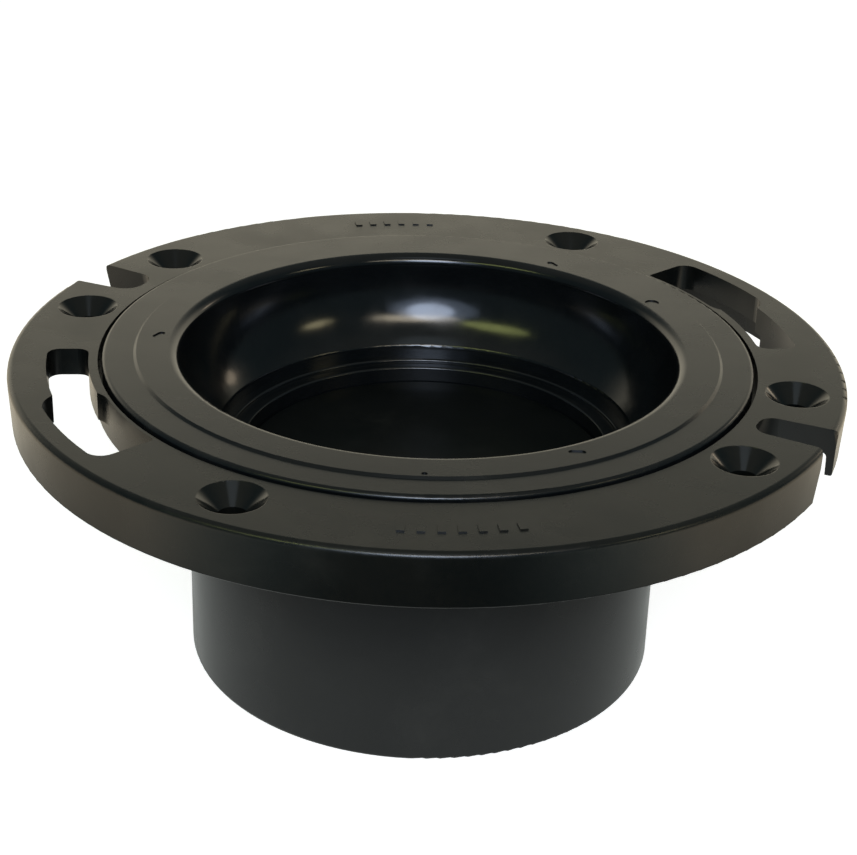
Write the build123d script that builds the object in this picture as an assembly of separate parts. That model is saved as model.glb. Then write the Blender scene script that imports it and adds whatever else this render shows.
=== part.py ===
from build123d import *
import os
from math import cos, radians, sin, sqrt

# Adjustable closet (toilet) flange for 3 in pipe, moulded in black ABS, in millimetres.
# The origin is the centre of the hub's bottom end, with +Z up along the drain.
# It is made of a hub (lip, bowl, pipe stop, spigot and socket in one moulding), a mounting
# ring that swivels under the hub's lip, and a knock-out disc that closes the drain.

# ---- driving dimensions ----
RING_TOP = 70.1            # height of the mounting ring's top face over the hub's bottom end

SPIGOT_R = 52.0            # outside of the hub
HUB_END_R = 0.9            # rounding of the hub's bottom end
SOCKET_R = 44.6            # inside of the hub, which goes over 3 in pipe
STOP_R = 39.9              # bore of the pipe stop
WEB_R = 38.3               # bore of the thin web under the knock-out disc
WEB_THICKNESS = 0.8

LIP_R = 69.4               # outside of the lip that clamps the ring
LIP_RISE = 0.84            # outer part of the lip over the ring's top face
SEAT_R = 62.5              # outer edge of the raised wax-ring seat on the lip
SEAT_RISE = 1.3            # wax-ring seat over the ring's top face
SEAT_SLOPE = 0.3           # half the width of the slope at the seat's outer edge
SEAT_EDGE_R = 2.4          # rounding at the bowl's rim
LIP_THICKNESS = 5.0
LIP_EDGE_R = 0.9
LIP_FOOT_R = 0.4

BOWL_TOP_R = 53.1          # bowl at the rim
BOWL_LOW_R = 45.6          # bowl at its lower edge
BOWL_TOP_DROP = 1.3        # under this depth the bowl starts to curve inwards
BOWL_LOW_DROP = 19.0       # depth of the bowl's lower edge under the ring's top face
BOWL_LOW_EDGE_R = 0.8
STEP_R = 43.1              # a short upright wall and two ledges lie between bowl and stop bore
STEP_DROP = 21.5           # depth of the upper ledge
STEP_EDGE_R = 0.55
LEDGE_DROP = 22.2          # depth of the lower ledge
LEDGE_EDGE_R = 0.5
DISC_DROP = 25.8           # depth of the knock-out disc's top face

NECK_R = 57.0              # hub's neck, the bearing that the ring turns on
NECK_BOTTOM_DROP = 14.0
NECK_CONE_DROP = 21.5

RING_R = 88.9              # 7 in outside diameter
RING_DEPTH = 11.4          # height of the outer skirt
SKIRT_DRAFT = 0.5          # how far the skirt's outer face leans in at its foot
RING_EDGE_R = 1.3
RING_FOOT_R = 0.5
SKIRT_WALL = 2.0
SKIRT_ROOT_R = 1.0         # where the skirt meets the plate, on the inside
PLATE_THICKNESS = 6.0
RECESS_R = 70.25           # pocket for the lip
SHELF_R = 70.9             # outside of the shelf under the lip
SHELF_DROP = 9.0           # depth of the shelf's underside
TURN_GAP = 0.2             # axial play of the ring, above and below
BORE_GAP = 0.5             # radial play of the ring on the neck

BOLT_CIRCLE_R = 76.5       # middle of the slots, for bolts on a 6 in circle
SLOT_WIDTH = 8.7
SLOT_START = 4.6           # degrees, end of the narrow part
SLOT_STEP = 25.6           # degrees, where the wide part starts
SLOT_END = 42.8            # degrees, end of the wide part
SLOT_END_R = 2.6           # corners of the narrow end
WIDE_IN_R = 70.9
WIDE_OUT_R = 84.0
WIDE_IN_CORNER_R = 0.6
WIDE_OUT_CORNER_R = 3.4
SLOT_WALL = 2.0            # wall under the plate, on the outer side of the narrow part
SLOT_WALL_START = 6.4      # degrees
SLOT_WALL_END = 19.6       # degrees

NOTCH_IN_R = 73.6
# each notch: start and end in degrees, radius of its inner corners and of its mouth
NOTCHES = ((150.2, 157.8, 4.4, 0.7), (331.2, 337.2, 3.3, 1.6))
NOTCH_DRAFT = 12.0         # degrees, how far a notch's walls lean back towards the foot
MOUTH_GAP = 0.02           # the wide part of a notch's cutter starts this far outside the ring
MOUTH_DEPTH = 6.0
MOUTH_FLARE = 5.0          # degrees, how much wider that part is on each side

SCREW_CIRCLE_R = 78.5
SCREW_ANGLES = (63.75, 141.3, 167.0, 243.75, 321.3, 347.0)
SCREW_R = 2.75
SCREW_MOUTH_R = 6.5
SCREW_CONE_DEPTH = 3.5
BOSS_R = 7.0
RIB_THICKNESS = 2.4
RIB_ANGLES = (52.0, 78.0, 92.0, 108.0, 124.0)

LUG_COUNT = 6
LUG_REACH = 1.6            # how far each snap lug stands out of the neck
LUG_HEIGHT = 3.6
LUG_FACE = 1.0             # height of the upright face over the ramp
LUG_SWEEP = 16.0           # degrees

DISC_GAP = 0.15            # radial play of the disc in the stop bore
DISC_THICKNESS = 2.5
DISC_CHAMFER = 0.3

MARK_DEPTH = 0.25          # moulded marks are this deep, or this high on the ring
GATE_ANGLES = (60, 180, 300)
GATE_R = 58.0
GATE_SIZE = (3.4, 1.6)
GATE_TURN = 60             # degrees, how far each gate mark lies askew
PIN_MARKS = ((57.7, 28.6, 1.6), (61.2, 270.0, 0.6))   # place in plan, then radius
PAD_R = 80.0               # row of blank moulded pads on the ring's top face
PAD_SIZE = (1.5, 2.6)
PAD_PITCH = 2.6            # degrees
PAD_ROWS = ((97.0, 6), (275.0, 7))   # middle angle and number of pads

JOIN = 0.5                 # how far a rib, boss or lug runs into what it stands on
CUT = 1.0                  # how far a cutter passes the face that it cuts

# ---- worked-out heights ----
LIP_TOP = RING_TOP + LIP_RISE
SEAT_TOP = RING_TOP + SEAT_RISE
LIP_UNDERSIDE = LIP_TOP - LIP_THICKNESS
DISC_TOP = RING_TOP - DISC_DROP
DISC_BOTTOM = DISC_TOP - DISC_THICKNESS
SOCKET_TOP = DISC_BOTTOM - WEB_THICKNESS   # pipe stop, and the web's underside
SHELF_TOP = LIP_UNDERSIDE - TURN_GAP
SHELF_BOTTOM = RING_TOP - SHELF_DROP
RING_BOTTOM = RING_TOP - RING_DEPTH
PLATE_BOTTOM = RING_TOP - PLATE_THICKNESS
RING_BORE_R = NECK_R + BORE_GAP
LUG_TOP = SHELF_BOTTOM - TURN_GAP


def polar(radius, angle):
    """A point in plan, from its radius and its angle in degrees."""
    return (radius * cos(radians(angle)), radius * sin(radians(angle)))


def corner(face, x, y):
    """The vertex of a sketch that lies nearest to a point."""
    return min(face.vertices(), key=lambda v: (v.X - x) ** 2 + (v.Y - y) ** 2)


def rounded(face, corners):
    """Round corners of a sketch, each given as x, y and radius."""
    for x, y, radius in corners:
        face = fillet(corner(face, x, y), radius)
    return face


def turned(face):
    """Turn a section, drawn as radius and height, about the drain's axis."""
    return revolve(Plane.XZ * face, axis=Axis.Z)


def bowl_arc():
    """The bowl's wall: upright at the rim, one arc to the lower edge."""
    high = RING_TOP - BOWL_TOP_DROP
    low = RING_TOP - BOWL_LOW_DROP
    inward = BOWL_TOP_R - BOWL_LOW_R
    drop = high - low
    radius = (inward ** 2 + drop ** 2) / (2 * inward)
    centre_r = BOWL_TOP_R - radius
    mid_drop = drop / 2
    mid_r = centre_r + sqrt(radius ** 2 - mid_drop ** 2)
    return ThreePointArc((BOWL_TOP_R, high), (mid_r, high - mid_drop), (BOWL_LOW_R, low))


def hub_section():
    bowl = bowl_arc()
    outline = Polyline(
        bowl @ 1,
        (BOWL_LOW_R, RING_TOP - STEP_DROP),
        (STEP_R, RING_TOP - STEP_DROP),
        (STEP_R, RING_TOP - LEDGE_DROP),
        (STOP_R, RING_TOP - LEDGE_DROP),
        (STOP_R, DISC_BOTTOM),
        (WEB_R, DISC_BOTTOM),
        (WEB_R, SOCKET_TOP),
        (STOP_R, SOCKET_TOP),
        (SOCKET_R, SOCKET_TOP),
        (SOCKET_R, 0),
        (SPIGOT_R, 0),
        (SPIGOT_R, RING_TOP - NECK_CONE_DROP),
        (NECK_R, RING_TOP - NECK_BOTTOM_DROP),
        (NECK_R, LIP_UNDERSIDE),
        (LIP_R, LIP_UNDERSIDE),
        (LIP_R, LIP_TOP),
        (SEAT_R + SEAT_SLOPE, LIP_TOP),
        (SEAT_R - SEAT_SLOPE, SEAT_TOP),
        (BOWL_TOP_R, SEAT_TOP),
        bowl @ 0,
    )
    section = make_face(Curve() + [bowl, outline])
    return rounded(section, [
        (BOWL_TOP_R, SEAT_TOP, SEAT_EDGE_R),
        (BOWL_LOW_R, RING_TOP - BOWL_LOW_DROP, BOWL_LOW_EDGE_R),
        (STEP_R, RING_TOP - STEP_DROP, STEP_EDGE_R),
        (STOP_R, RING_TOP - LEDGE_DROP, LEDGE_EDGE_R),
        (SOCKET_R, 0, HUB_END_R),
        (SPIGOT_R, 0, HUB_END_R),
        (LIP_R, LIP_TOP, LIP_EDGE_R),
        (LIP_R, LIP_UNDERSIDE, LIP_FOOT_R),
    ])


def snap_lug():
    """One ramped lug on the neck, whose flat top holds the ring up."""
    root = NECK_R - JOIN
    section = make_face(Polyline(
        (root, LUG_TOP),
        (NECK_R + LUG_REACH, LUG_TOP),
        (NECK_R + LUG_REACH, LUG_TOP - LUG_FACE),
        (root, LUG_TOP - LUG_HEIGHT),
        close=True,
    ))
    lug = revolve(Plane.XZ * section, axis=Axis.Z, revolution_arc=LUG_SWEEP)
    return lug.rotate(Axis.Z, -LUG_SWEEP / 2)


def gate_mark():
    """A short shallow recess in the wax-ring seat, where a mould gate was."""
    recess = extrude(SlotOverall(*GATE_SIZE), MARK_DEPTH + CUT)
    return Pos(GATE_R, 0, SEAT_TOP - MARK_DEPTH) * Rot(0, 0, GATE_TURN) * recess


def pin_mark(radius, angle, size):
    """A shallow round recess in the wax-ring seat, where an ejector pin pushed."""
    recess = Cylinder(size, 2 * MARK_DEPTH)
    return Pos(*polar(radius, angle), SEAT_TOP) * recess


def hub():
    body = turned(hub_section())
    for i in range(LUG_COUNT):
        body += snap_lug().rotate(Axis.Z, 360 / LUG_COUNT * i)
    for angle in GATE_ANGLES:
        body -= gate_mark().rotate(Axis.Z, angle)
    for radius, angle, size in PIN_MARKS:
        body -= pin_mark(radius, angle, size)
    return body


def ring_section():
    section = make_face(Polyline(
        (RING_R - SKIRT_DRAFT, RING_BOTTOM),
        (RING_R, RING_TOP),
        (RECESS_R, RING_TOP),
        (RECESS_R, SHELF_TOP),
        (RING_BORE_R, SHELF_TOP),
        (RING_BORE_R, SHELF_BOTTOM),
        (SHELF_R, SHELF_BOTTOM),
        (SHELF_R, PLATE_BOTTOM),
        (RING_R - SKIRT_WALL, PLATE_BOTTOM),
        (RING_R - SKIRT_WALL, RING_BOTTOM),
        close=True,
    ))
    return rounded(section, [
        (RING_R, RING_TOP, RING_EDGE_R),
        (RING_R - SKIRT_DRAFT, RING_BOTTOM, RING_FOOT_R),
        (RING_R - SKIRT_WALL, PLATE_BOTTOM, SKIRT_ROOT_R),
    ])


def arc_band(inner, outer, start, end):
    """A flat arc-shaped band between two radii and two angles."""
    outside = CenterArc((0, 0), outer, start, end - start)
    inside = CenterArc((0, 0), inner, start, end - start)
    sides = [Line(outside @ 0, inside @ 0), Line(outside @ 1, inside @ 1)]
    return make_face(Curve() + [outside, inside] + sides)


def keyhole_slot():
    """Closet-bolt slot: a narrow arc for the shank and a wide one for the head."""
    narrow_in = BOLT_CIRCLE_R - SLOT_WIDTH / 2
    narrow_out = BOLT_CIRCLE_R + SLOT_WIDTH / 2
    narrow = arc_band(narrow_in, narrow_out, SLOT_START, SLOT_STEP)
    narrow = rounded(narrow, [
        (*polar(narrow_in, SLOT_START), SLOT_END_R),
        (*polar(narrow_out, SLOT_START), SLOT_END_R),
    ])
    wide = arc_band(WIDE_IN_R, WIDE_OUT_R, SLOT_STEP, SLOT_END)
    wide = rounded(wide, [
        (*polar(WIDE_IN_R, SLOT_END), WIDE_IN_CORNER_R),
        (*polar(WIDE_OUT_R, SLOT_END), WIDE_OUT_CORNER_R),
    ])
    head_r = (WIDE_OUT_R - WIDE_IN_R) / 2
    head = Pos(*polar(WIDE_IN_R + head_r, SLOT_STEP)) * Circle(head_r)
    return Pos(0, 0, RING_BOTTOM - CUT) * extrude(narrow + wide + head, RING_DEPTH + 2 * CUT)


def slot_wall():
    """Band under the plate, down to the foot of the skirt, which keyhole_slot trims."""
    inner = BOLT_CIRCLE_R + SLOT_WIDTH / 2
    band = arc_band(inner - JOIN, inner + SLOT_WALL, SLOT_WALL_START, SLOT_WALL_END)
    return Pos(0, 0, RING_BOTTOM) * extrude(band, PLATE_BOTTOM - RING_BOTTOM + JOIN)


def notch(start, end, inner_corner_r, mouth_corner_r):
    """A notch in the ring's edge, round at its inner end and at its mouth.

    The cutter widens just outside the ring, so that its rounded corners shape the mouth.
    """
    mouth_r = RING_R + MOUTH_GAP
    plan = arc_band(NOTCH_IN_R, mouth_r + CUT, start, end)
    plan = rounded(plan, [
        (*polar(NOTCH_IN_R, start), inner_corner_r),
        (*polar(NOTCH_IN_R, end), inner_corner_r),
    ])
    plan += arc_band(mouth_r, mouth_r + MOUTH_DEPTH, start - MOUTH_FLARE, end + MOUTH_FLARE)
    plan = rounded(plan, [
        (*polar(mouth_r, start), mouth_corner_r),
        (*polar(mouth_r, end), mouth_corner_r),
    ])
    return Pos(0, 0, RING_BOTTOM - CUT) * extrude(plan, RING_DEPTH + 2 * CUT)


def notch_draft(start, end, inner_corner_r):
    """The same notch without its round mouth, wider towards the foot of the skirt."""
    plan = arc_band(NOTCH_IN_R, RING_R + MOUTH_DEPTH, start, end)
    plan = rounded(plan, [
        (*polar(NOTCH_IN_R, start), inner_corner_r),
        (*polar(NOTCH_IN_R, end), inner_corner_r),
    ])
    return Pos(0, 0, RING_TOP) * extrude(plan, -RING_DEPTH - CUT, taper=-NOTCH_DRAFT)


def screw_boss(angle):
    """Solid pillar under a screw hole, tied to the shelf and the skirt by a rib."""
    height = PLATE_BOTTOM - RING_BOTTOM + JOIN
    pillar = Cylinder(BOSS_R, height, align=(Align.CENTER, Align.CENTER, Align.MIN))
    return Pos(*polar(SCREW_CIRCLE_R, angle), RING_BOTTOM) * pillar + rib(angle)


def rib(angle):
    """Radial rib under the plate, from the shelf to the skirt."""
    length = RING_R - SKIRT_WALL - SHELF_R + 2 * JOIN
    height = PLATE_BOTTOM - SHELF_BOTTOM + JOIN
    web = Box(length, RIB_THICKNESS, height, align=(Align.MIN, Align.CENTER, Align.MIN))
    return (Pos(SHELF_R - JOIN, 0, SHELF_BOTTOM) * web).rotate(Axis.Z, angle)


def screw_hole(angle):
    """Countersunk screw hole through the plate and its boss."""
    hang = (Align.CENTER, Align.CENTER, Align.MAX)
    cone = Cone(SCREW_R, SCREW_MOUTH_R, SCREW_CONE_DEPTH, align=hang)
    shank = Cylinder(SCREW_R, RING_DEPTH + 2 * CUT, align=hang)
    x, y = polar(SCREW_CIRCLE_R, angle)
    return Pos(x, y, RING_TOP) * cone + Pos(x, y, RING_TOP + CUT) * shank


def blank_pads(middle, count):
    """A row of plain raised pads along the ring, with nothing written on them."""
    pads = []
    for i in range(count):
        pad = Pos(PAD_R, 0, RING_TOP) * Box(PAD_SIZE[1], PAD_SIZE[0], 2 * MARK_DEPTH)
        pads.append(pad.rotate(Axis.Z, middle + (i - (count - 1) / 2) * PAD_PITCH))
    return pads


def mounting_ring():
    body = turned(ring_section())
    for angle in SCREW_ANGLES:
        body += screw_boss(angle)
    for angle in RIB_ANGLES:
        body += rib(angle)
        body += rib(angle + 180)
    wall = slot_wall()
    body += wall
    body += wall.rotate(Axis.Z, 180)
    for angle in SCREW_ANGLES:
        body -= screw_hole(angle)
    slot = keyhole_slot()
    body -= slot
    body -= slot.rotate(Axis.Z, 180)
    for start, end, inner_corner_r, mouth_corner_r in NOTCHES:
        cutter = notch(start, end, inner_corner_r, mouth_corner_r)
        body -= cutter + notch_draft(start, end, inner_corner_r)
    for middle, count in PAD_ROWS:
        for pad in blank_pads(middle, count):
            body += pad
    return body


def knockout_disc():
    """Flat disc that closes the drain until it is knocked out."""
    blank = Cylinder(
        STOP_R - DISC_GAP, DISC_THICKNESS, align=(Align.CENTER, Align.CENTER, Align.MIN)
    )
    return Pos(0, 0, DISC_BOTTOM) * chamfer(blank.edges(), DISC_CHAMFER)


NODES = {
    "hub": hub,
    "mounting_ring": mounting_ring,
    "knockout_disc": knockout_disc,
}

os.makedirs("parts", exist_ok=True)
for name, make in NODES.items():
    solid = make()
    export_step(solid, f"parts/{name}.step")
    box = solid.bounding_box()
    print(name, "solids", len(solid.solids()), "volume", round(solid.volume), box.min, box.max)
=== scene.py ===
from math import cos, pi, radians, sin, tan

import bpy
from mathutils import Matrix, Vector


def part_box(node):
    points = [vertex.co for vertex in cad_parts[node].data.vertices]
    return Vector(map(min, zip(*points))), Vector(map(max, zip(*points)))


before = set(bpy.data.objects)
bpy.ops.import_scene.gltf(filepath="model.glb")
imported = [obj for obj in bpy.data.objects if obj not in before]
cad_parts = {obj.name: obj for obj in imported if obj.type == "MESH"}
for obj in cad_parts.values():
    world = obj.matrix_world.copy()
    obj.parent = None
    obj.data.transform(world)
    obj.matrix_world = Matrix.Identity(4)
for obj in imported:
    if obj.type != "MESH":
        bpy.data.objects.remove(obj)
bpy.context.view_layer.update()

# Looks of a black plastic closet flange: the camera, the lights, the floor and backdrop, and the
# materials of its hub, mounting ring and knock-out disc. It adds no shapes to the object.
# Lengths are in metres, in the part's own frame, and angles in degrees unless radians() is used.


def rgb(red, green, blue):
    return (red, green, blue, 1.0)


# ---- the object ----
_, RING_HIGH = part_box("mounting_ring")
_, HUB_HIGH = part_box("hub")
RING_R = RING_HIGH.x
LIP_R = HUB_HIGH.x
RING_TOP = 0.0701
LIP_TOP = 0.07094
BOWL_R = 0.0531                # at the bowl's rim
# each rounded edge: radius, height of its top, size of its rounding, 1 outside or -1 inside
HUB_EDGES = (
    (LIP_R, LIP_TOP, 0.0009, 1),
    (BOWL_R, HUB_HIGH.z, 0.0024, -1),
    (0.0431, 0.0486, 0.00055, -1),
    (0.0399, 0.0479, 0.0005, -1),
)
RING_EDGES = ((RING_R, RING_TOP, 0.0013, 1),)
SCREW_CIRCLE_R = 0.0785
SCREW_ANGLES = (63.75, 141.3, 167.0, 243.75, 321.3, 347.0)
SCREW_HOLE_R = 0.00275
COUNTERSINK_R = 0.0065
COUNTERSINK_DEPTH = 0.0035
COUNTERSINK_SLOPE = (COUNTERSINK_R - SCREW_HOLE_R) / COUNTERSINK_DEPTH

# ---- where the exact normals are used ----
EDGE_MARGIN = 0.32             # how far a flat facet may lie off its rounding, in roundings
EDGE_OVERRUN = 0.06            # how far past its rounding a facet may reach, in roundings
LEAST_UP = 0.001               # a normal of length 0 would come out black
LEAST_ALIKE = 0.6              # cosine between the mesh's normal and the exact one
CONE_MARGIN = 0.00012          # how far a flat facet may lie off a countersink's cone
NEAR_SCREW = 1.2 * COUNTERSINK_R
FAR_AWAY = 1.0                 # stands for the distance from every screw hole elsewhere

# ---- the camera ----
SENSOR_WIDTH = 36              # mm
FOCAL_LENGTH = 78.1            # mm
CAMERA_DISTANCE = 0.400564     # from the middle of the ring's top face
CAMERA_ELEVATION = radians(23.412)
CAMERA_ROLL = radians(1.84)
CAMERA_TILT = radians(-2.427)  # it looks a little below the middle of the ring

# ---- the lights ----
LAMP_DISTANCE = 1.6            # from the middle of the ring's top face
# each lamp: name, azimuth, elevation, width, height, turn, colour, radiance
LAMPS = (
    ("window", 180, 30, 22, 18, 0, (0.66, 0.78, 1.0), 10),
    ("window_halo", 182, 28, 40, 26, 0, (0.60, 0.75, 1.0), 1.5),
    ("warm_band", 171, 38, 40, 7, -4, (1.0, 0.88, 0.66), 7.0),
    ("green_lamp", 219, 39, 32, 8, 10, (0.90, 1.0, 0.34), 3.6),
    ("warm_lamp", 117, 28, 15, 6, -6, (1.0, 0.88, 0.52), 4.4),
    ("small_lamp", 52, 17, 8, 9, 0, (1.0, 0.80, 0.58), 2.4),
    ("skylight", 180, 66, 26, 14, 0, (0.74, 0.88, 1.0), 0.5),
)
ROOM_COLOUR = rgb(0.075, 0.105, 0.110)
CEILING_COLOUR = rgb(0.19, 0.20, 0.18)
WALL_COLOUR = rgb(1.12, 1.04, 0.82)

# ---- the floor, the glowing table top with its painted light and painted shadow, and the backdrop ----
FLOOR_HALF = 9
FLOOR_HEIGHT = -0.00005
FLOOR_COLOURS = rgb(0.80, 0.80, 0.79), rgb(0.84, 0.84, 0.83)
FLOOR_GLOW = rgb(1.0, 1.0, 0.99)
FLOOR_GLOW_STRENGTH = 0.78
TABLE_HALF = 6
TABLE_HEIGHT = -0.0002
# colours of the table's painted light, which only reflections see
TABLE_NEAR_TINT = rgb(0.95, 1.0, 0.96)
TABLE_FRONT_TINT = rgb(0.80, 1.0, 0.97)
TABLE_FAR_TINT = rgb(1.0, 0.88, 0.66)
BACKDROP_R = 8.5
BACKDROP_COLOUR = rgb(0.99, 0.99, 0.985)

# ---- the plastic ----
PLASTIC_IOR = 1.52
SCUFF_COLOUR = rgb(0.075, 0.072, 0.062)
SCUFF_SHARE = 0.16
SCUFF_ROUGHNESS = 0.06
POLISHED_ROUGHNESS = (0.13, 0.19)
WAVE_DEPTH = 0.00002
GRAIN_DEPTH = 0.00001


# ---- short ways to write node trees ----
class Nodes:
    """Adds nodes to one tree, each with its inputs given as values or as other nodes' outputs."""

    def __init__(self, tree):
        self.tree = tree

    def feed(self, socket, value):
        if isinstance(value, bpy.types.NodeSocket):
            self.tree.links.new(value, socket)
        else:
            socket.default_value = value

    def add(self, kind, inputs=(), **settings):
        made = self.tree.nodes.new("ShaderNode" + kind)
        for key, value in settings.items():
            setattr(made, key, value)
        for key, value in dict(inputs).items():
            self.feed(made.inputs[key], value)
        return made

    def math(self, operation, *values):
        return self.add("Math", dict(enumerate(values)), operation=operation).outputs[0]

    def hypot(self, a, b):
        """The length of a vector in a plane."""
        squares = [self.math("MULTIPLY", part, part) for part in (a, b)]
        return self.math("SQRT", self.math("ADD", *squares))

    def ramp(self, value, low, high, start=0.0, end=1.0, smooth=True):
        """A value carried from the range low to high onto start to end, held at both ends."""
        kind = "SMOOTHSTEP" if smooth else "LINEAR"
        inputs = {0: value, 1: low, 2: high, 3: start, 4: end}
        return self.add("MapRange", inputs, interpolation_type=kind).outputs[0]

    def mix(self, share, low, high):
        """A colour between two others."""
        made = self.add("Mix", data_type="RGBA")
        for name, value in (("Factor_Float", share), ("A_Color", low), ("B_Color", high)):
            self.feed(next(s for s in made.inputs if s.identifier == name), value)
        return next(s for s in made.outputs if s.identifier == "Result_Color")

    def noise(self, place, scale, detail=2.0, roughness=0.5, distortion=0.0):
        inputs = {"Vector": place, "Scale": scale, "Detail": detail, "Roughness": roughness,
                  "Distortion": distortion}
        return self.add("TexNoise", inputs).outputs[0]

    def combine(self, x, y, z):
        return self.add("CombineXYZ", {0: x, 1: y, 2: z}).outputs[0]

    def separate(self, vector):
        return self.add("SeparateXYZ", {0: vector}).outputs[:]

    def exact(self, share, normal, own):
        """The normal, or where share is 1 and the two nearly agree, the object's own vector."""
        own = self.add("VectorTransform", {0: own}, vector_type="NORMAL",
                       convert_from="OBJECT", convert_to="WORLD").outputs[0]
        own = self.add("VectorMath", {0: own}, operation="NORMALIZE").outputs[0]
        alike = self.add("VectorMath", {0: own, 1: normal}, operation="DOT_PRODUCT")
        alike = self.math("GREATER_THAN", alike.outputs["Value"], LEAST_ALIKE)
        share = self.math("MULTIPLY", share, alike)
        turn = self.add("VectorMath", {0: own, 1: normal}, operation="SUBTRACT").outputs[0]
        turn = self.add("VectorMath", {0: turn, 3: share}, operation="SCALE").outputs[0]
        return self.add("VectorMath", {0: normal, 1: turn}, operation="ADD").outputs[0]


def new_material(name):
    material = bpy.data.materials.new(name)
    material.use_nodes = True
    material.node_tree.nodes.clear()
    return material, Nodes(material.node_tree)


def close(n, shader):
    n.add("OutputMaterial", {"Surface": shader.outputs[0]})


# ---- camera and lights ----
def add_camera():
    camera = bpy.data.objects.new("camera", bpy.data.cameras.new("camera"))
    bpy.context.scene.collection.objects.link(camera)
    camera.data.sensor_width = SENSOR_WIDTH
    camera.data.lens = FOCAL_LENGTH
    camera.data.clip_start = 0.01
    camera.data.clip_end = 100
    look = Matrix.Rotation(pi / 2 - CAMERA_ELEVATION, 4, "X")
    turn = Matrix.Rotation(CAMERA_ROLL, 4, "Z") @ Matrix.Rotation(CAMERA_TILT, 4, "X")
    back = Vector((0, -cos(CAMERA_ELEVATION), sin(CAMERA_ELEVATION)))
    place = Vector((0, 0, RING_TOP)) + back * CAMERA_DISTANCE
    camera.matrix_world = Matrix.Translation(place) @ look @ turn
    bpy.context.scene.camera = camera


def towards(azimuth, elevation):
    """A direction from the object. Azimuth 0 is away from the camera, 90 is to its right."""
    a, e = radians(azimuth), radians(elevation)
    return Vector((sin(a) * cos(e), cos(a) * cos(e), sin(e)))


def add_lamp(name, azimuth, elevation, wide, high, turn, colour, radiance):
    """A soft lamp seen from the object as an ellipse of that many degrees, of that radiance."""
    data = bpy.data.lights.new(name, "AREA")
    data.shape = "ELLIPSE"
    data.size = 2 * LAMP_DISTANCE * tan(radians(wide / 2))
    data.size_y = 2 * LAMP_DISTANCE * tan(radians(high / 2))
    data.color = colour
    area = pi / 4 * data.size * data.size_y
    data.energy = radiance * pi * area
    lamp = bpy.data.objects.new(name, data)
    bpy.context.scene.collection.objects.link(lamp)
    way = towards(azimuth, elevation)
    facing = way.to_track_quat("Z", "Y").to_matrix().to_4x4()
    spin = Matrix.Rotation(radians(turn), 4, "Z")
    centre = Vector((0, 0, RING_TOP))
    lamp.matrix_world = Matrix.Translation(centre + way * LAMP_DISTANCE) @ facing @ spin


def add_world():
    """A dim room with a bright warm wall behind the object."""
    world = bpy.data.worlds.new("room")
    bpy.context.scene.world = world
    world.use_nodes = True
    world.node_tree.nodes.clear()
    n = Nodes(world.node_tree)
    x, y, z = n.separate(n.add("TexCoord").outputs["Generated"])
    level = n.math("MAXIMUM", n.hypot(x, y), 0.001)
    ahead = n.math("DIVIDE", y, level)
    across = n.math("DIVIDE", x, level)
    wall = n.math("MULTIPLY", n.ramp(ahead, 0.35, 0.85), n.ramp(z, 0.24, 0.58, 1.0, 0.0))
    wall = n.math("MULTIPLY", wall, n.ramp(across, -0.25, 0.25, 1.18, 0.84, smooth=False))
    room = n.mix(n.ramp(z, 0.5, 0.95), ROOM_COLOUR, CEILING_COLOUR)
    colour = n.mix(wall, room, WALL_COLOUR)
    background = n.add("Background", {"Color": colour, "Strength": 1.0})
    n.add("OutputWorld", {"Surface": background.outputs[0]})


# ---- floor, glowing table top with painted light and painted shadow, and backdrop ----
def flat_square(name, half, height):
    mesh = bpy.data.meshes.new(name)
    corners = [(x * half, y * half, height) for x, y in ((-1, -1), (1, -1), (1, 1), (-1, 1))]
    mesh.from_pydata(corners, [], [(0, 1, 2, 3)])
    square = bpy.data.objects.new(name, mesh)
    bpy.context.scene.collection.objects.link(square)
    return square


def add_floor():
    """The pale floor that is seen. It glows a little, so that shadows on it stay faint.

    From below it is clear, so that it doesn't hide the object's underside.
    """
    floor = flat_square("floor", FLOOR_HALF, FLOOR_HEIGHT)
    material, n = new_material("pale_floor")
    place = n.add("TexCoord").outputs["Object"]
    mottle = n.ramp(n.noise(place, 3.0, 3.0), 0.3, 0.7)
    matte = n.add("BsdfDiffuse", {"Color": n.mix(mottle, *FLOOR_COLOURS)})
    glow = n.add("Emission", {"Color": FLOOR_GLOW, "Strength": FLOOR_GLOW_STRENGTH})
    both = n.add("AddShader", {0: matte.outputs[0], 1: glow.outputs[0]})
    clear = n.add("BsdfTransparent")
    below = n.add("NewGeometry").outputs["Backfacing"]
    close(n, n.add("MixShader", {0: below, 1: both.outputs[0], 2: clear.outputs[0]}))
    floor.data.materials.append(material)
    floor.visible_diffuse = False
    floor.visible_glossy = False
    floor.visible_shadow = False


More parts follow.
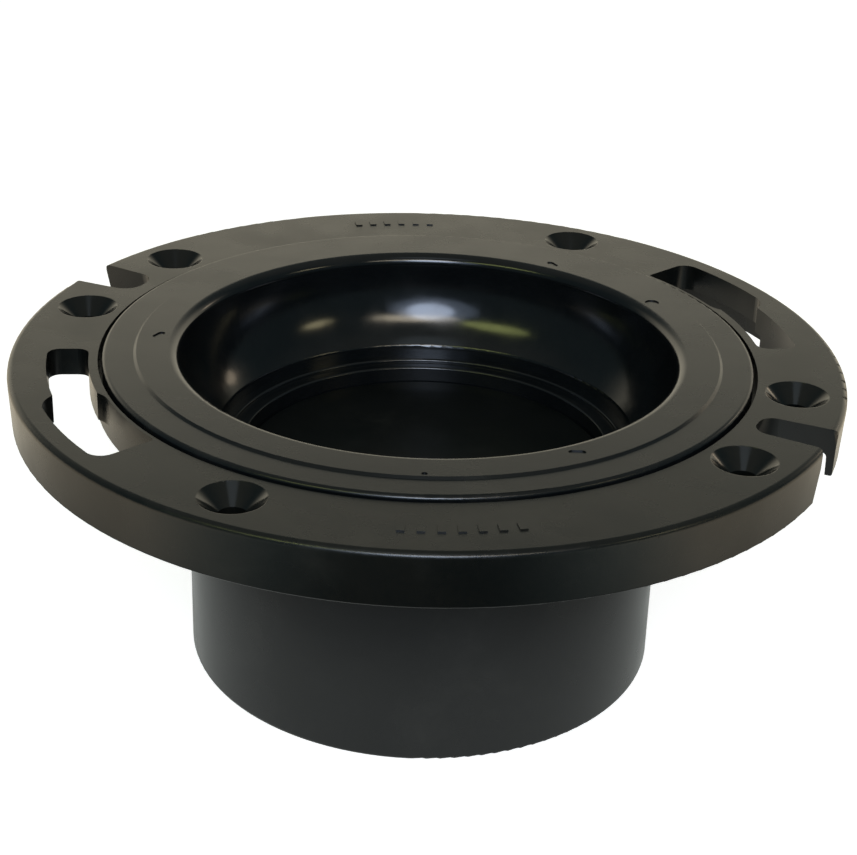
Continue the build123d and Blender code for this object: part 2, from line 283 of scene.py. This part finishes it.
def add_table():
    """What the glossy plastic mirrors: a pale table top that glows, with painted light on it and a
    painted soft shadow of the object.

    The painted light is bright close to the hub and at the sides and back, and painted shade
    keeps it dark in front of the object.
    """
    table = flat_square("table", TABLE_HALF, TABLE_HEIGHT)
    material, n = new_material("painted_light_table")
    x, y, _ = n.separate(n.add("TexCoord").outputs["Object"])
    reach = n.hypot(x, y)
    ahead = n.math("DIVIDE", y, n.math("MAXIMUM", reach, 0.001))
    # painted shade in front of the object, painted light at the sides and back
    open_light = n.ramp(ahead, -0.97, -0.55, 0.05, 0.93, smooth=False)
    open_light = n.math("SUBTRACT", open_light, n.ramp(ahead, -0.50, -0.25, 0.0, 0.18))
    open_light = n.math("ADD", open_light, n.ramp(ahead, 0.0, 0.5, 0.0, 0.34))
    # painted shadow of the object: the open light fades out close under the ring
    open_light = n.math("MULTIPLY", open_light, n.ramp(reach, 0.120, 0.185))
    # painted light close to the hub, fading with distance from it
    near_light = n.ramp(reach, 0.070, 0.150, 0.56, 0.0)
    near_light = n.math("MULTIPLY", near_light, n.ramp(x, 0.02, 0.09, 1.0, 0.82))
    light = n.math("MAXIMUM", open_light, near_light)
    far_tint = n.mix(n.ramp(ahead, -0.95, -0.45), TABLE_FRONT_TINT, TABLE_FAR_TINT)
    tint = n.mix(n.ramp(reach, 0.10, 0.20), TABLE_NEAR_TINT, far_tint)
    close(n, n.add("Emission", {"Color": tint, "Strength": light}))
    table.data.materials.append(material)
    table.visible_camera = False


def add_backdrop():
    """A pale dome that only the camera sees, so that low views have a pale background."""
    bpy.ops.mesh.primitive_uv_sphere_add(segments=48, ring_count=24, radius=BACKDROP_R)
    dome = bpy.context.object
    dome.name = "backdrop"
    material, n = new_material("pale_backdrop")
    close(n, n.add("Emission", {"Color": BACKDROP_COLOUR, "Strength": 1.0}))
    dome.data.materials.append(material)
    dome.visible_diffuse = False
    dome.visible_glossy = False
    dome.visible_transmission = False
    dome.visible_shadow = False


# ---- plastic ----
def moulded_plastic(name, dark, light, roughness, grain, edges=(), polish=None, specular=0.5,
                    holes=False):
    """Black moulded plastic: faint flow marks, a fine grain, dull scuffs and smooth round edges.

    polish, if given, is a function of the node tree and the place that is 1 where the mould
    was polished. There the plastic is glossy, with no grain or scuffs. holes says whether the
    piece has the six countersinks.
    """
    material, n = new_material(name)
    place = n.add("TexCoord").outputs["Object"]
    polished = polish(n, place) if polish else 0.0
    dull = n.math("SUBTRACT", 1.0, polished)

    flow = n.noise(place, 38.0, 3.0, 0.55, 1.2)
    speckle = n.noise(place, 900.0, 2.0, 0.6)
    shade = n.math("ADD", n.math("MULTIPLY", flow, 0.7), n.math("MULTIPLY", speckle, 0.3))
    colour = n.mix(n.ramp(shade, 0.35, 0.68), dark, light)
    scuffs = n.noise(place, 48.0, 5.0, 0.65, 0.4)
    scuffs = n.math("MULTIPLY", n.ramp(scuffs, 0.50, 0.85), dull)
    colour = n.mix(n.math("MULTIPLY", scuffs, SCUFF_SHARE), colour, SCUFF_COLOUR)

    rough = n.ramp(n.noise(place, 70.0, 3.0), 0.3, 0.7, *roughness)
    rough = n.math("ADD", rough, n.math("MULTIPLY", scuffs, SCUFF_ROUGHNESS))
    glossy = n.ramp(n.noise(place, 160.0, 2.0), 0.3, 0.7, *POLISHED_ROUGHNESS)
    rough = n.math("ADD", n.math("MULTIPLY", rough, dull), n.math("MULTIPLY", glossy, polished))

    fine = n.noise(place, 2600.0, 2.0, 0.6)
    fine = n.math("MULTIPLY", fine, n.math("MULTIPLY", dull, grain))
    wave = n.noise(place, 90.0, 2.0)
    height = n.math("ADD", n.math("MULTIPLY", wave, WAVE_DEPTH),
                    n.math("MULTIPLY", fine, GRAIN_DEPTH))
    normal = edge_normal(n, place, edges)
    if holes:
        normal = countersink_normal(n, place, normal)
    bump = n.add("Bump", {"Strength": 1.0, "Distance": 1.0, "Height": height, "Normal": normal})
    close(n, n.add("BsdfPrincipled", {"Base Color": colour, "Roughness": rough,
                                      "IOR": PLASTIC_IOR, "Specular IOR Level": specular,
                                      "Normal": bump.outputs[0]}))
    return material


def edge_normal(n, place, edges):
    """The surface's normal, with the exact one of a rounding on each rounded edge.

    The mesh's triangles cut across the roundings, so their own normals make the bright lines
    along the edges jagged.
    """
    normal = n.add("NewGeometry").outputs["Normal"]
    x, y, z = n.separate(place)
    radius = n.hypot(x, y)
    for edge_r, top, size, side in edges:
        up = n.math("DIVIDE", n.math("SUBTRACT", z, top - size), size)
        out = n.math("DIVIDE", n.math("SUBTRACT", radius, edge_r - side * size), side * size)
        within = n.math("GREATER_THAN", n.math("MINIMUM", up, out), -EDGE_OVERRUN)
        up = n.math("MAXIMUM", up, LEAST_UP)
        out = n.math("MAXIMUM", out, 0.0)
        on_arc = n.math("COMPARE", n.hypot(up, out), 1.0, EDGE_MARGIN)
        on_arc = n.math("MULTIPLY", on_arc, within)
        spread = n.math("DIVIDE", n.math("MULTIPLY", out, side), radius)
        exact = n.combine(n.math("MULTIPLY", x, spread), n.math("MULTIPLY", y, spread), up)
        normal = n.exact(on_arc, normal, exact)
    return normal


def bowl_polish(n, place):
    """1 in the bowl and on its steps, 0 on the lip's top face and outside the hub."""
    x, y, z = n.separate(place)
    inside = n.ramp(n.hypot(x, y), BOWL_R + 0.0006, BOWL_R + 0.0022, 1.0, 0.0)
    above = n.ramp(z, 0.041, 0.0415)
    return n.math("MULTIPLY", inside, above)


def countersink_polish(n, place):
    """1 in the six countersinks under the ring's top face."""
    across, along, z = from_nearest_screw(n, place)
    near = n.math("LESS_THAN", n.hypot(across, along), COUNTERSINK_R + 0.0001)
    return n.math("MULTIPLY", near, n.math("LESS_THAN", z, RING_TOP - 0.00002))


def from_nearest_screw(n, place):
    """How far a place is from the axis of the screw hole close to it, in x and in y, and its z."""
    x, y, z = n.separate(place)
    across, along = FAR_AWAY, FAR_AWAY
    for angle in SCREW_ANGLES:
        to_x = n.math("SUBTRACT", x, SCREW_CIRCLE_R * cos(radians(angle)))
        to_y = n.math("SUBTRACT", y, SCREW_CIRCLE_R * sin(radians(angle)))
        near = n.math("LESS_THAN", n.hypot(to_x, to_y), NEAR_SCREW)
        across = n.add("Mix", {0: near, 2: across, 3: to_x}).outputs[0]
        along = n.add("Mix", {0: near, 2: along, 3: to_y}).outputs[0]
    return across, along, z


def countersink_normal(n, place, normal):
    """The normal, with the exact one of a cone in each countersink."""
    across, along, z = from_nearest_screw(n, place)
    reach = n.hypot(across, along)
    deep = n.math("SUBTRACT", RING_TOP, z)
    cone = n.math("SUBTRACT", COUNTERSINK_R, n.math("MULTIPLY", deep, COUNTERSINK_SLOPE))
    on_cone = n.math("COMPARE", reach, cone, CONE_MARGIN)
    shallow = n.math("LESS_THAN", deep, COUNTERSINK_DEPTH)
    rise = n.math("MULTIPLY", reach, COUNTERSINK_SLOPE)
    exact = n.combine(n.math("MULTIPLY", across, -1.0), n.math("MULTIPLY", along, -1.0), rise)
    return n.exact(n.math("MULTIPLY", on_cone, shallow), normal, exact)


def dress(node, material):
    """Give a CAD node its finish, in place of the plain one that it came with."""
    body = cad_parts[node]
    body.data.materials.clear()
    body.data.materials.append(material)


def add_materials():
    hub = moulded_plastic("hub_plastic", rgb(0.003, 0.004, 0.005), rgb(0.006, 0.007, 0.008),
                          (0.22, 0.28), 1.0, HUB_EDGES, bowl_polish)
    ring = moulded_plastic("ring_plastic", rgb(0.003, 0.004, 0.004), rgb(0.007, 0.007, 0.006),
                           (0.24, 0.31), 1.0, RING_EDGES, countersink_polish, holes=True)
    disc = moulded_plastic("disc_plastic", rgb(0.002, 0.003, 0.003), rgb(0.004, 0.005, 0.005),
                           (0.40, 0.46), 0.3, specular=0.2)
    dress("hub", hub)
    dress("mounting_ring", ring)
    dress("knockout_disc", disc)


add_camera()
add_world()
for lamp_row in LAMPS:
    add_lamp(*lamp_row)
add_floor()
add_table()
add_backdrop()
add_materials()
bpy.context.scene.view_settings.view_transform = "Standard"
